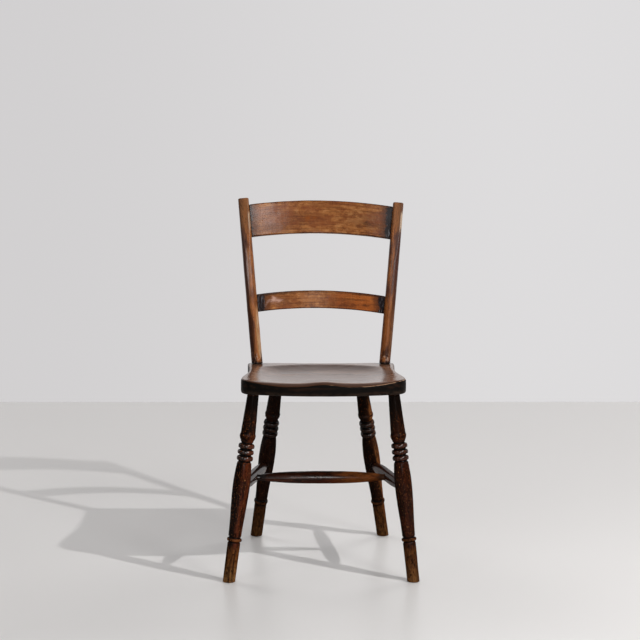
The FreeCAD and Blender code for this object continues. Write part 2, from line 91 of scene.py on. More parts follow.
# %% A socket that can be added and multiplied
class Shade:
    """One output socket of a material's node web."""

    def __init__(self, tree, socket):
        self.tree = tree
        self.socket = socket

    def make(self, kind, inputs, output=0, **settings):
        """Adds a node: its settings first, then the values or links of its sockets."""
        node = self.tree.nodes.new("ShaderNode" + kind)
        for name, value in settings.items():
            setattr(node, name, value)
        for name, value in inputs.items():
            if isinstance(value, Shade):
                self.tree.links.new(value.socket, node.inputs[name])
            else:
                node.inputs[name].default_value = value
        return Shade(self.tree, node.outputs[output])

    def math(self, operation, *values):
        """A Math node on these values."""
        return self.make("Math", dict(enumerate(values)), operation=operation)

    def __add__(self, other):
        return self.math("ADD", self, other)

    __radd__ = __add__

    def __sub__(self, other):
        return self.math("SUBTRACT", self, other)

    def __rsub__(self, other):
        return self.math("SUBTRACT", other, self)

    def __mul__(self, other):
        return self.math("MULTIPLY", self, other)

    __rmul__ = __mul__

    def __abs__(self):
        return self.math("ABSOLUTE", self)

    def ramp(self, low, high):
        """0 below low, 1 above high, smooth between them. Low may be the larger one."""
        inputs = {"Value": self, "From Min": low, "From Max": high}
        return self.make("MapRange", inputs, interpolation_type="SMOOTHSTEP")

    def band(self, start, full, fade, end):
        """1 between full and fade, going smoothly down to 0 at start and at end."""
        return self.ramp(start, full) * self.ramp(end, fade)

    def tint(self, colour, mask):
        """This colour with another laid over it where the mask is 1."""
        inputs = {0: mask, 6: self, 7: (*colour, 1.0)}
        return self.make("Mix", inputs, output=2, data_type="RGBA")

    def flat(self, colour):
        """One plain colour, to start from."""
        shade = self.make("RGB", {})
        shade.socket.default_value = (*colour, 1.0)
        return shade

    def stretch(self, x, y, z):
        """These coordinates drawn out by a factor along each axis."""
        return self.make("VectorMath", {0: self, 1: (x, y, z)}, operation="MULTIPLY")

    def noise(self, seed, detail=3.0, roughness=0.55):
        """Smooth random values around 0.5. The seed is the place along a fourth axis."""
        inputs = {"Vector": self, "W": seed, "Scale": 1.0, "Detail": detail}
        inputs["Roughness"] = roughness
        return self.make("TexNoise", inputs, noise_dimensions="4D")

    def part(self, axis):
        """One of the three numbers of a place."""
        return self.make("SeparateXYZ", {0: self}, output=axis)

    def stored(self, name):
        """A number that each vertex of the piece stores under a name."""
        return self.make("Attribute", {}, output=2, attribute_name=name)

    def curve(self, factors):
        """The value of a polynomial, given with its highest power first."""
        total = self * float(factors[0]) + float(factors[1])
        for factor in factors[2:]:
            total = total * self + float(factor)
        return total


print("shader helper ready")

# %% [markdown]
# ## Worn copies
# A CAD piece is perfectly even, and its mesh has a few long triangles. Modelling each piece again
# would lose the fit of the joints. So we copy each wooden piece, wrap the copy in an even skin of
# small squares, ease its edges and press soft hollows into it. The hollows only go inwards, so
# the chair keeps its size. Each copy then takes the place of its CAD piece, which stays in the
# file untouched. The seat and the crest rail get a coarser skin: they are large and would need
# too many squares, and they have no fine turning.

# %% Wrap, ease and dent a copy
merge_distance = 1e-6
usual_skin = 0.0009
skins = {"seat": 0.002, "crest_rail": 0.0012}
hollow_depth = 0.0006
easing_rounds = 2
peg_slot = "pale_peg_wood"
hand_work = bpy.data.textures.new("hand_work", "CLOUDS")
hand_work.noise_scale = 0.035
hand_work.noise_depth = 2
slots = {part["node"]: part["material_slot"] for part in frame["record"]["subparts"]}


def worn_copy(node, skin):
    """A copy of a CAD piece with an even skin, eased edges and soft hollows."""
    bpy.ops.object.select_all(action="DESELECT")
    piece = bpy.data.objects.new(node + "_worn", frame["nodes"][node].data.copy())
    bpy.context.scene.collection.objects.link(piece)
    bpy.context.view_layer.objects.active = piece
    piece.select_set(True)
    bpy.ops.object.mode_set(mode="EDIT")
    bpy.ops.mesh.select_all(action="SELECT")
    bpy.ops.mesh.remove_doubles(threshold=merge_distance)
    bpy.ops.object.mode_set(mode="OBJECT")
    wrap = piece.modifiers.new("wrap", "REMESH")
    wrap.mode = "VOXEL"
    wrap.voxel_size = skin
    ease = piece.modifiers.new("ease", "SMOOTH")
    ease.iterations = easing_rounds
    dent = piece.modifiers.new("dent", "DISPLACE")
    dent.texture = hand_work
    dent.mid_level = 1.0
    dent.strength = hollow_depth
    for modifier in (wrap, ease, dent):
        bpy.ops.object.modifier_apply(modifier=modifier.name)
    bpy.ops.object.shade_smooth()
    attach(piece, "root")
    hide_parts(node)
    return piece


worn = {}
for node in sorted(slots):
    if slots[node] != peg_slot:
        worn[node] = worn_copy(node, skins.get(node, usual_skin))
        print(node, len(worn[node].data.polygons), "faces")

# %% [markdown]
# ## Where wear and dirt collect
# Hands, feet and dusters rub the outward curves bare, and dirt stays in the hollows. Such masks
# can be painted by hand, but measured ones fit every piece. So each vertex stores how strongly
# the wood bends there: above zero on a crest, below zero in a groove. For a neighbour at distance
# d on a ball of radius r, the drop below the tangent plane is close to d * d / (2 * r), which
# gives 1 / r. Each vertex also stores how far it faces up and how far it faces ahead.

# %% Store the bend of the surface on each vertex
bend_rounds = 6


def read_mesh(piece):
    """The places, normals and neighbouring pairs of a piece's vertices, each pair both ways."""
    mesh = piece.data
    spots = np.empty(len(mesh.vertices) * 3)
    normals = np.empty(len(mesh.vertices) * 3)
    pairs = np.empty(len(mesh.edges) * 2, dtype=np.int64)
    mesh.vertices.foreach_get("co", spots)
    mesh.vertex_normals.foreach_get("vector", normals)
    mesh.edges.foreach_get("vertices", pairs)
    first, second = pairs.reshape(-1, 2).T
    ends, others = np.concatenate([first, second]), np.concatenate([second, first])
    return spots.reshape(-1, 3), normals.reshape(-1, 3), ends, others


def blur(values, ends, others, rounds):
    """Mixes each vertex's value with those of its neighbours, again and again."""
    number = np.bincount(ends, minlength=len(values))
    for _ in range(rounds):
        values = 0.5 * values + 0.5 * np.bincount(ends, values[others], len(values)) / number
    return values


def store_bend(piece):
    """Writes the surface's bend in 1 / metre, and how far it faces up and ahead."""
    spots, normals, ends, others = read_mesh(piece)
    step = spots[others] - spots[ends]
    drop = -2 * (step * normals[ends]).sum(1) / (step * step).sum(1)
    bend = np.bincount(ends, drop, len(spots)) / np.bincount(ends, minlength=len(spots))
    bend = blur(bend, ends, others, bend_rounds)
    layers = {"bend": bend, "facing": normals[:, 2], "ahead": -normals[:, 1]}
    for name, values in layers.items():
        layer = piece.data.attributes.new(name, "FLOAT", "POINT")
        layer.data.foreach_set("value", np.ascontiguousarray(values))
    return bend


bends = {node: store_bend(piece) for node, piece in worn.items()}
for node, bend in bends.items():
    print(node, "bend", np.percentile(bend, [2, 50, 98]).round())

# %% [markdown]
# ## Crisp turning
# On the real legs the grooves between the beads are deep and dark, and the cup above them is short
# and full. The CAD legs are plainer there, and easing has softened their grooves further. They
# could be turned again in the CAD model, but a few millimetres of looks are quicker to give to
# the copies. A Displace modifier moves the vertices with a hollow bend in, and those on the cup's
# underside out. A leg leans, so heights are measured along its own axis.

# %% Press the grooves and fill out the cups
weight_steps = 20
soften_rounds = 2
groove_depth = 0.0030
full_groove_bend = 60
groove_rounds = 7
neck_height = 0.330
neck_fade = 0.004
cup_fullness = 0.0014
cup_middle = 0.3325
cup_half = 0.006


def push(piece, weights, amount):
    """Moves the skin out by an amount times each vertex's weight, or in if it is below 0."""
    steps = np.round(weights * weight_steps).astype(int)
    group = piece.vertex_groups.new(name="pushed")
    for step in range(1, weight_steps + 1):
        group.add(np.nonzero(steps == step)[0].tolist(), step / weight_steps, "REPLACE")
    bpy.ops.object.select_all(action="DESELECT")
    bpy.context.view_layer.objects.active = piece
    piece.select_set(True)
    move = piece.modifiers.new("move", "DISPLACE")
    move.vertex_group = group.name
    move.mid_level = 0.0
    move.strength = amount
    soften = piece.modifiers.new("soften", "SMOOTH")
    soften.iterations = soften_rounds
    for modifier in (move, soften):
        bpy.ops.object.modifier_apply(modifier=modifier.name)
    piece.vertex_groups.clear()
    print(piece.name, "moved by", round(weights.max() * amount * 1000, 2), "mm at most")


for node in (name for name in worn if name.startswith("leg")):
    spots, _, ends, others = read_mesh(worn[node])
    middle = spots.mean(0)
    lean = np.linalg.svd(spots - middle, full_matrices=False)[2][0]
    lean = lean * np.sign(lean[2])
    along = (spots - middle) @ lean + middle[2] / lean[2]
    hollow = np.clip(-bends[node] / full_groove_bend, 0, 1)
    below_cup = np.clip((neck_height - along) / neck_fade, 0, 1)
    push(worn[node], blur(hollow, ends, others, groove_rounds) * below_cup, -groove_depth)
    push(worn[node], np.clip(1 - ((along - cup_middle) / cup_half) ** 2, 0, 1), cup_fullness)

# %% [markdown]
# ## Grain that follows the piece
# Grain runs along a piece even where the maker bent it. Plain object coordinates would cut
# straight through the bend, and a wrapped skin has no UV map. So for each long piece we fit a
# smooth curve through the middle of its vertices. The material measures from that curve, and its
# own third axis always runs along the wood.

# %% Fit the middle line and measure from it
line_degree = 3


def across(axis):
    """The two other axes."""
    return [i for i in range(3) if i != axis]


def middle_line(node, axis):
    """Two polynomials: the middle of a piece across one axis, for each place along it."""
    spots = read_mesh(worn[node])[0]
    return [np.polyfit(spots[:, axis], spots[:, i], line_degree) for i in across(axis)]


def along_grain(place, node, axis):
    """The place in a piece: two distances from its middle line, then the way along it."""
    way = place.part(axis)
    lines = zip(across(axis), middle_line(node, axis))
    first, second = [place.part(i) - way.curve(line) for i, line in lines]
    return place.make("CombineXYZ", {0: first, 1: second, 2: way})


print("middle line of the crest rail", middle_line("crest_rail", 0)[0].round(3))

# %% [markdown]
# ## A finish from start to end
# Each worn piece gets a material of its own, because no two of them have aged alike.
# All of them start from object coordinates and end at the same shader: wood below and a coat of
# varnish or polish above it. Old wood hardly shines by itself, so the sheen is in the coat.

# %% Start, end and put on a finish
def start_finish(name):
    """A new material and its object coordinates."""
    material = bpy.data.materials.new(name)
    material.use_nodes = True
    tree = material.node_tree
    return material, Shade(tree, tree.nodes.new("ShaderNodeTexCoord").outputs["Object"])


def end_finish(material, colour, roughness, coat, height, depth, gloss, polish, glass=1.5):
    """Wires the patterns to the material's shader. Polish is the roughness of its top coat,
    and glass is the coat's index of refraction: old, thick varnish glints more."""
    tree = material.node_tree
    shader = tree.nodes["Principled BSDF"]
    shader.inputs["Specular IOR Level"].default_value = gloss
    shader.inputs["Coat Roughness"].default_value = polish
    shader.inputs["Coat IOR"].default_value = glass
    relief = height.make("Bump", {"Height": height, "Distance": depth, "Strength": 1.0})
    patterns = {"Base Color": colour, "Roughness": roughness, "Coat Weight": coat}
    patterns["Normal"] = relief
    for name, pattern in patterns.items():
        tree.links.new(pattern.socket, shader.inputs[name])
    return material


def dress(node, material):
    """Gives a worn piece its one material."""
    worn[node].data.materials.clear()
    worn[node].data.materials.append(material)
    print(node, "wears", material.name)


print("finish helpers ready")

# %% [markdown]
# ## Turned wood for legs and stretchers
# The turned pieces are almost black with old varnish. Red wood shows where it has worn thin: on
# the crests of the beads, and in many small amber chips and pale flecks. The red glow on one side
# of each piece is partly wear and partly painted light: on the front left and rear right legs it
# lies on the right, where the lamp falls, and the rear right leg also gets a painted lit edge.
# Below the ring the legs are bare and golden, because mops and shoes have rubbed them. One noise
# over one brown would look like plastic, so each kind of wear is a layer of its own, laid over the
# one before it. We name the colours of the layers and the heights on a leg first.

# %% Colours and heights of the turned wood
old_varnish = (0.0052, 0.0026, 0.0018)
red_wood = (0.075, 0.0155, 0.005)
warm_end = (0.135, 0.040, 0.009)
# Partly wear and partly painted light: the orange edge on the side that the lamp lights.
rubbed_and_lit_side = (0.210, 0.072, 0.021)
bead_crest = (0.120, 0.033, 0.010)
ring_crest = (0.170, 0.058, 0.015)
amber_chip = (0.180, 0.053, 0.013)
pale_fleck = (0.40, 0.17, 0.05)
foot_brown = (0.130, 0.046, 0.012)
foot_gold = (0.240, 0.120, 0.042)
foot_streak = (0.014, 0.006, 0.0035)
groove_dirt = (0.0025, 0.002, 0.0018)
pit_dirt = (0.0035, 0.0025, 0.002)
joint_dirt = (0.004, 0.003, 0.0025)
cup_heights = (0.322, 0.334, 0.350, 0.388)
bead_heights = (0.12, 0.14, 0.312, 0.322)
ring_heights = (0.080, 0.088, 0.104, 0.112)
print("rings between", ring_heights[0], "and", ring_heights[-1], "m")

# %% [markdown]
# The feet are a finish in the finish: the varnish is gone, and gold shows between dark streaks.

# %% The bare feet
def bare_foot(colour, height, cloud, streak, mottle, foot):
    """The colour with golden wood below the ring, and how bare the wood is."""
    bare = (height + (cloud - 0.5) * 0.03).ramp(0.090, 0.068) * foot
    gold = bare * (0.35 + mottle.ramp(0.60, 0.42) * 0.65)
    colour = colour.tint(foot_brown, gold)
    colour = colour.tint(foot_gold, gold * height.ramp(0.060, 0.004) * (0.85 * foot))
    colour = colour.tint(foot_streak, bare * streak.ramp(0.47, 0.59) * 0.8)
    return colour, bare


print("feet ready")

# %% [markdown]
# Dirt comes last, in the grooves, pits and joints. The coat is weak in the pits and strong on the
# beads. The value called under says how much of it is left on wood that faces down, where a
# polishing cloth hardly reaches.

# %% The dark turned finish
def turned_finish(node, axis, seed, rubbed, wear, amber, foot=0.0, warm=0.0, lit_edge_strength=0.0,
                  sheen=0.06, glint=0.1, smooth=0.0, under=0.2):
    """Dark varnish over red wood, worn thin towards the rubbed side; on some legs that side is
    also painted as if lit.
    """
    material, place = start_finish(node + "_finish")
    grain = along_grain(place, node, axis)
    way = grain.part(2)
    height = place.part(2)
    bend = place.stored("bend")
    fibre = grain.stretch(420, 420, 20).noise(seed, 3)
    streak = grain.stretch(150, 150, 12).noise(seed + 1, 4, 0.6)
    cloud = grain.stretch(75, 75, 32).noise(seed + 2, 5, 0.65)
    chip = grain.stretch(430, 430, 260).noise(seed + 3, 3, 0.6)
    pit = grain.stretch(300, 300, 130).noise(seed + 4, 3, 0.6)
    mottle = grain.stretch(150, 150, 60).noise(seed + 5, 4, 0.65)
    fleck = grain.stretch(270, 270, 150).noise(seed + 6, 2)
    # The side that the wear comes from. On the front left and rear right legs it is the right, lit
    # side, so the red it weights there is partly painted light.
    towards = grain.part(0) * rubbed[0] + grain.part(1) * rubbed[1]
    side = towards.ramp(-0.012, 0.012)
    cup = height.band(*cup_heights)
    under_seat = height.ramp(0.40, 0.33)

    colour = place.flat(old_varnish)
    thin = (streak * 0.45 + cloud * 0.40 + side * 0.15).ramp(0.46, 0.66) * (0.2 + side * 0.8)
    colour = colour.tint(red_wood, thin * under_seat * (1 - cup * 0.5) * wear)
    glow = way.ramp(0.0, 0.09) * (0.3 + cloud.ramp(0.40, 0.58) * 0.7)
    colour = colour.tint(warm_end, glow * warm)
    # Painted light over some wear: an orange lit edge on one side of the rear right leg.
    edge = towards.ramp(0.0075, 0.0125) * streak.ramp(0.38, 0.54) * (1 - bend.ramp(20, 70))
    colour = colour.tint(rubbed_and_lit_side, edge * lit_edge_strength)
    crest = bend.ramp(45, 120) * (fibre * 0.4 + cloud * 0.6).ramp(0.36, 0.60)
    colour = colour.tint(bead_crest, crest * (0.05 + 0.3 * wear))
    ring = bend.ramp(40, 100) * height.band(*ring_heights)
    colour = colour.tint(ring_crest, ring * cloud.ramp(0.40, 0.54) * (0.6 * foot))
    chips = (chip + cup * 0.01 + cloud * 0.10).ramp(0.61, 0.70) * height.ramp(0.41, 0.37)
    colour = colour.tint(amber_chip, chips * (0.9 - side * 0.3) * amber)
    colour = colour.tint(pale_fleck, fleck.ramp(0.64, 0.71) * under_seat * (0.75 * amber))
    colour, bare = bare_foot(colour, height, cloud, streak, mottle, foot)
    colour = colour.tint(groove_dirt, bend.ramp(-12, -60) * 0.97)
    pits = pit.ramp(0.52, 0.63) * (1 - 0.7 * smooth)
    colour = colour.tint(pit_dirt, pits * 0.85)
    colour = colour.tint(joint_dirt, abs(way).ramp(0.124, 0.138) * warm)

    roughness = 0.34 + fibre * 0.16 + bare * 0.2 + pits * 0.2
    varnish = (1 - bare * 0.85) * (1 - pits * 0.9)
    beads = bend.ramp(35, 110) * height.band(*bead_heights)
    dull_end = way.ramp(-0.01, 0.07) * warm
    shiny_end = way.ramp(0.0, -0.08) * warm
    coat = varnish * (1 - dull_end * 1.1) * (sheen + beads * glint + shiny_end * 0.5)
    coat = coat * (under + place.stored("facing").ramp(-0.15, 0.10) * (1 - under))
    relief = fibre * 0.3 + cloud * 0.6 - pits * 0.5
    return end_finish(material, colour, roughness, coat, relief, depth=0.0008, gloss=0.0,
                      polish=0.17, glass=2.0)


print("turned finish ready")

# %% [markdown]
# The front left leg is rubbed most and the rear legs least. The stretchers are smoother than the
# legs and shine more, and the right half of the cross stretcher is worn to a warm brown. Rubbed is
# the direction, across the piece, that the wear comes from. On the front left and rear right legs
# it points to the right, so the red there is partly painted light from that side.

# %% Finish the legs and stretchers
turned = {
    "leg_front_left": dict(axis=2, seed=11.0, rubbed=(0.9, -0.4), wear=1.0, amber=0.8, foot=0.95,
                           glint=0.48),
    "leg_front_right": dict(axis=2, seed=23.0, rubbed=(0.3, -0.9), wear=0.4, amber=0.7, foot=0.6,
                            sheen=0.05, glint=0.45),
    "leg_rear_left": dict(axis=2, seed=37.0, rubbed=(0.3, -0.9), wear=0.1, amber=0.3, foot=0.38,
                          sheen=0.08, glint=0.3),
    "leg_rear_right": dict(axis=2, seed=41.0, rubbed=(1.0, -0.1), wear=0.25, amber=0.45, foot=0.5,
                           lit_edge_strength=0.7, sheen=0.05, glint=0.45),
    "side_stretcher_left": dict(axis=1, seed=53.0, rubbed=(1.0, 0.3), wear=0.3, amber=0.2,
                                sheen=0.55, smooth=1.0, under=1.0),
    "side_stretcher_right": dict(axis=1, seed=67.0, rubbed=(-1.0, 0.3), wear=0.4, amber=0.3,
                                 sheen=0.3, smooth=1.0, under=1.0),
    "cross_stretcher": dict(axis=0, seed=71.0, rubbed=(-1.0, -0.2), wear=0.6, amber=0.3, warm=0.8,
                            sheen=0.33, smooth=0.9, under=0.1),
}
for node, values in turned.items():
    dress(node, turned_finish(node, **values))

# %% [markdown]
# ## Brown wood for the back
# The rails are honey brown. Fine dark lines run with the grain, soft darker clouds lie over them,
# and black grime has built up where a rail meets its posts, out of a duster's reach. Single marks,
# such as a knot, a stain or a scuff, could be painted on a map. Here each is a soft oval at a
# measured place along the rail, which needs no picture and follows the bend of the wood.

# %% Single marks
def mark(grain, middle, size, ragged, slant=0.0):
    """A soft oval mark in grain coordinates. A size of 0 lets it run right through."""
    offset = grain.make("VectorMath", {0: grain, 1: middle}, operation="SUBTRACT")
    lean = offset.part(2) + offset.part(1) * slant
    offset = offset.make("CombineXYZ", {0: offset.part(0), 1: offset.part(1), 2: lean})
    offset = offset.stretch(*(1 / half if half else 0 for half in size))
    distance = offset.make("VectorMath", {0: offset}, output=1, operation="LENGTH")
    return (distance + ragged).ramp(1.0, 0.2)


red_stain = (0.090, 0.023, 0.008)
orange_stain = (0.210, 0.055, 0.009)
dark_knot = (0.035, 0.012, 0.006)
pale_left_mark = (0.56, 0.33, 0.25)
pale_honey = (0.36, 0.165, 0.060)
crest_stains = [
    ((0, 0.006, 0.088), (0, 0.026, 0.050), pale_honey, 0.6),
    ((0, -0.003, -0.046), (0, 0.018, 0.060), red_stain, 0.8),
    ((0, -0.002, -0.030), (0, 0.010, 0.026), orange_stain, 0.9),
    ((0, -0.018, -0.120), (0, 0.018, 0.050), red_stain, 0.6),
    ((0, -0.004, 0.118), (0, 0.024, 0.050), red_stain, 0.45),
    ((0, -0.007, 0.112), (0, 0.007, 0.013), dark_knot, 0.85),
]
mid_stains = [
    ((0, 0.000, -0.095), (0, 0.020, 0.050), red_stain, 0.7),
    # Pale marks near the left end of the mid rail.
    ((-0.008, 0.002, -0.108), (0.010, 0.013, 0.024), pale_left_mark, 0.45),
    ((-0.008, -0.002, -0.129), (0.010, 0.016, 0.0050), pale_left_mark, 0.70, -0.57),
    ((-0.008, 0.007, -0.117), (0.010, 0.009, 0.012), pale_left_mark, 0.85),
    ((-0.008, 0.001, -0.100), (0.010, 0.006, 0.012), pale_left_mark, 0.55),
    ((0, -0.006, 0.108), (0, 0.004, 0.016), dark_knot, 0.7),
    ((0, -0.010, 0.060), (0, 0.012, 0.050), red_stain, 0.7),
]
print("marks", len(crest_stains), "on the crest rail and", len(mid_stains), "on the mid rail")

# %% [markdown]
# The grime keeps its distance from the post's middle line, not from the rail's end, so it follows
# the slope of the post. A few pale grey hair lines run through it.

# %% Grime at the ends of a rail
grime_fade = (0.060, 0.021, 0.011)
black_grime = (0.007, 0.0065, 0.0085)
grey_hairline = (0.21, 0.205, 0.225)
fade_width = 0.018
black_width = 0.007


def end_grime(colour, place, ends, ragged, hair):
    """Grime up to a reach from the middle of each post, with a ragged edge and a few grey hair
    lines.
    """
    for post, reach, strength in ends:
        gap = abs(place.part(0) - place.part(2).curve(middle_line(post, 2)[0])) + ragged
        colour = colour.tint(grime_fade, gap.ramp(reach + fade_width, reach) * 0.7)
        black = gap.ramp(reach, reach - black_width) * strength
        colour = colour.tint(black_grime, black)
        colour = colour.tint(grey_hairline, black * hair.ramp(0.58, 0.69) * 0.7)
    return colour


crest_ends = [("back_post_left", 0.021, 0.8), ("back_post_right", 0.029, 0.95)]
mid_ends = [("back_post_left", 0.034, 0.93), ("back_post_right", 0.030, 0.97)]
print("grime reaches", [reach for _, reach, _ in crest_ends + mid_ends], "m")

# %% [markdown]
# The wood itself is built from large to small: clouds, mottled figure, fibres and specks. Dirt on
# the upper edge and a darker tone along sharp edges go over all of it.

# %% Colours of the rails
honey = (0.205, 0.074, 0.021)
light_line = (0.30, 0.124, 0.040)
brown_cloud = (0.125, 0.034, 0.009)
dark_figure = (0.085, 0.024, 0.008)
broad_shade = (0.140, 0.038, 0.011)
orange_end = (0.27, 0.070, 0.012)
dark_fibre = (0.070, 0.020, 0.006)
dark_speck = (0.035, 0.011, 0.005)
pale_ripple = (0.32, 0.150, 0.055)
top_dirt = (0.026, 0.010, 0.006)
sharp_edge_tone = (0.020, 0.007, 0.003)
print("colours of the rails ready")

# %% [markdown]
# The crest rail is polished more than the mid rail, and only the mid rail has gone orange at its
# right end and dark along its upper edge. So the two share one finish with different values.

# %% The rails
def rail_finish(node, seed, bright, orange, sheen, stains, ends, top_grime=0.0):
    """Honey-brown wood with single stains and grime at its left and right ends."""
    material, place = start_finish(node + "_finish")
    grain = along_grain(place, node, 0)
    fibre = grain.stretch(460, 460, 13).noise(seed, 3)
    line = grain.stretch(180, 180, 10).noise(seed + 1, 4, 0.6)
    cloud = grain.stretch(85, 85, 42).noise(seed + 2, 5, 0.62)
    shade = grain.stretch(30, 30, 12).noise(seed + 3, 3, 0.5)
    speck = grain.stretch(420, 420, 110).noise(seed + 4, 2)
    ripple = grain.stretch(40, 40, 420).noise(seed + 5, 2)
    mottle = grain.stretch(105, 105, 60).noise(seed + 6, 4, 0.58)
    hair = place.stretch(700, 60, 45).noise(seed + 7, 2)

    colour = place.flat(honey)
    colour = colour.tint(light_line, line.ramp(0.46, 0.60) * 0.45)
    colour = colour.tint(brown_cloud, cloud.ramp(0.47, 0.64) * 0.8)
    colour = colour.tint(dark_figure, mottle.ramp(0.52, 0.64) * 0.7)
    colour = colour.tint(pale_honey, mottle.ramp(0.48, 0.36) * 0.5)
    colour = colour.tint(broad_shade, shade.ramp(0.45, 0.58) * 0.7)
    colour = colour.tint(orange_end, place.part(0).ramp(0.0, 0.11) * orange)
    colour = colour.tint(dark_fibre, fibre.ramp(0.50, 0.62) * 0.65)
    colour = colour.tint(dark_speck, speck.ramp(0.62, 0.69) * 0.5)
    colour = colour.tint(pale_ripple, ripple.ramp(0.50, 0.66) * 0.12)
    colour = colour.make("HueSaturation", {"Color": colour, "Value": bright})
    ragged = (cloud - 0.5) * 2.2 + (line - 0.5) * 1.4
    for middle, size, tone, strength, *slant in stains:
        patch = mark(grain, middle, size, ragged, *slant) * (0.2 + mottle.ramp(0.58, 0.46) * 0.8)
        colour = colour.tint(tone, patch * strength)
    ragged = (cloud - 0.5) * 0.032 + (fibre - 0.5) * 0.016 + (line - 0.5) * 0.008
    colour = end_grime(colour, place, ends, ragged, hair)
    top = (grain.part(1) + (cloud - 0.5) * 0.010).ramp(0.0135, 0.0185)
    top = top * (0.45 + abs(grain.part(2)).ramp(0.03, 0.11) * 0.55)
    colour = colour.tint(top_dirt, top * top_grime)
    # Darker along the rail's sharp edges.
    edge = place.stored("bend").ramp(60, 200) * (0.4 + cloud.ramp(0.40, 0.60) * 0.6)
    colour = colour.tint(sharp_edge_tone, edge * 0.9)

    roughness = 0.34 + fibre * 0.16 + cloud * 0.10
    coat = sheen + shade.ramp(0.35, 0.65) * 0.16
    relief = fibre * 0.5 + line * 0.4 + shade * 0.6 - speck.ramp(0.58, 0.69) * 0.4
    return end_finish(material, colour, roughness, coat, relief, depth=0.0004, gloss=0.02,
                      polish=0.24)


dress("crest_rail", rail_finish("crest_rail", seed=83.0, bright=1.25, orange=0.0, sheen=0.22,
                                stains=crest_stains, ends=crest_ends))
dress("mid_rail", rail_finish("mid_rail", seed=97.0, bright=1.45, orange=0.75, sheen=0.12,
                              stains=mid_stains, ends=mid_ends, top_grime=0.75))

# %% [markdown]
# ## The posts
# The posts are made of the same wood. Their outer halves and the part at hand height are dark,
# and the planed tops are paler. The two posts could share one finish, but the left one has a pale
# inner edge low down, partly rubbed bare and partly a painted highlight, while the right one is
# stained. So a value called stain moves a post from one to the other. Both posts also carry a
# painted highlight, over some wear, along their right edges near the top.

# %% Colours and heights of the posts
post_brown = (0.310, 0.100, 0.023)
post_light = (0.40, 0.175, 0.056)
post_cloud = (0.125, 0.035, 0.010)
post_fibre = (0.065, 0.019, 0.007)
planed_top = (0.150, 0.066, 0.030)
outer_dark = (0.034, 0.012, 0.007)
hand_stain = (0.060, 0.020, 0.013)
# Painted highlight: a pale streak of sheen on the left post.
painted_highlight_streak = (0.36, 0.265, 0.235)
# Partly bare wood and partly painted highlight, for the posts' lit edges.
rubbed_and_lit_inside = (0.60, 0.36, 0.17)
rubbed_and_lit_edge = (0.62, 0.47, 0.34)
low_dark_brown = (0.022, 0.008, 0.005)
low_red_brown = (0.125, 0.036, 0.011)
chipped_dark = (0.024, 0.008, 0.005)
pale_flake = (0.50, 0.34, 0.26)
post_pit = (0.010, 0.005, 0.0035)
post_joint = (0.005, 0.0035, 0.003)
top_rub_and_lit_heights = (0.745, 0.765, 0.790, 0.802)
low_rub_and_lit_heights = (0.452, 0.466, 0.530, 0.590)
print("posts rubbed between", low_rub_and_lit_heights[0], "and", top_rub_and_lit_heights[-1], "m")

# %% [markdown]
# Pale right-hand edges, partly rubbed bare and partly painted highlight, and the chipped feet of
# the posts, where they enter the seat, are laid over the plain wood by two helpers.

# %% Rubbed edges with painted highlights, and chipped feet
def rub_and_highlight_post(colour, grain, height, cloud, line, stain):
    """Pale edges, partly bare wood and partly painted highlight, and a darker low part."""
    across_post = grain.part(0)
    worn_line = (cloud * 0.5 + line * 0.5).ramp(0.40, 0.50)
    # Painted highlight over some wear: pale along the right-hand edge, and the inner half low
    # down.
    lit_right_edge = across_post.ramp(0.0065, 0.0095) * worn_line
    inner = across_post.ramp(0.0020, 0.0070) * (0.35 + worn_line * 0.65)
    top_rub_and_lit = height.band(*top_rub_and_lit_heights)
    low_rub_and_lit = height.band(*low_rub_and_lit_heights) * (1 - stain)
    colour = colour.tint(rubbed_and_lit_inside, inner * low_rub_and_lit * 0.9)
    colour = colour.tint(rubbed_and_lit_edge, lit_right_edge * (top_rub_and_lit * 0.55 + low_rub_and_lit * 0.8))
    low_dark = height.ramp(0.585, 0.500) * (1 - across_post.ramp(-0.006, 0.003))
    low_dark = low_dark * (cloud * 0.6 + line * 0.4).ramp(0.36, 0.54) * (1 - stain)
    colour = colour.tint(low_dark_brown, low_dark * 1.2)
    return colour.tint(low_red_brown, height.ramp(0.60, 0.54) * (0.5 * stain))


def chip_post(colour, height, cloud, pit):
    """Chips, pale flakes, pits, and dirt in the joint with the seat."""
    chipped = height.ramp(0.500, 0.462) * cloud.ramp(0.47, 0.56)
    colour = colour.tint(chipped_dark, chipped * 0.85)
    flakes = height.ramp(0.475, 0.458) * pit.ramp(0.46, 0.40)
    colour = colour.tint(pale_flake, flakes * 0.55)
    colour = colour.tint(post_pit, pit.ramp(0.60, 0.67) * 0.75)
    joint = (height + (cloud - 0.5) * 0.014).ramp(0.452, 0.445)
    return colour.tint(post_joint, joint * 0.95)


print("rubbed edges and chips ready")

# %% [markdown]
# The plain wood comes first, then its dark outer half, the stain left by hands and one painted
# highlight, a pale streak of sheen. The coat is strongest at hand height, where the posts have
# been held and polished.

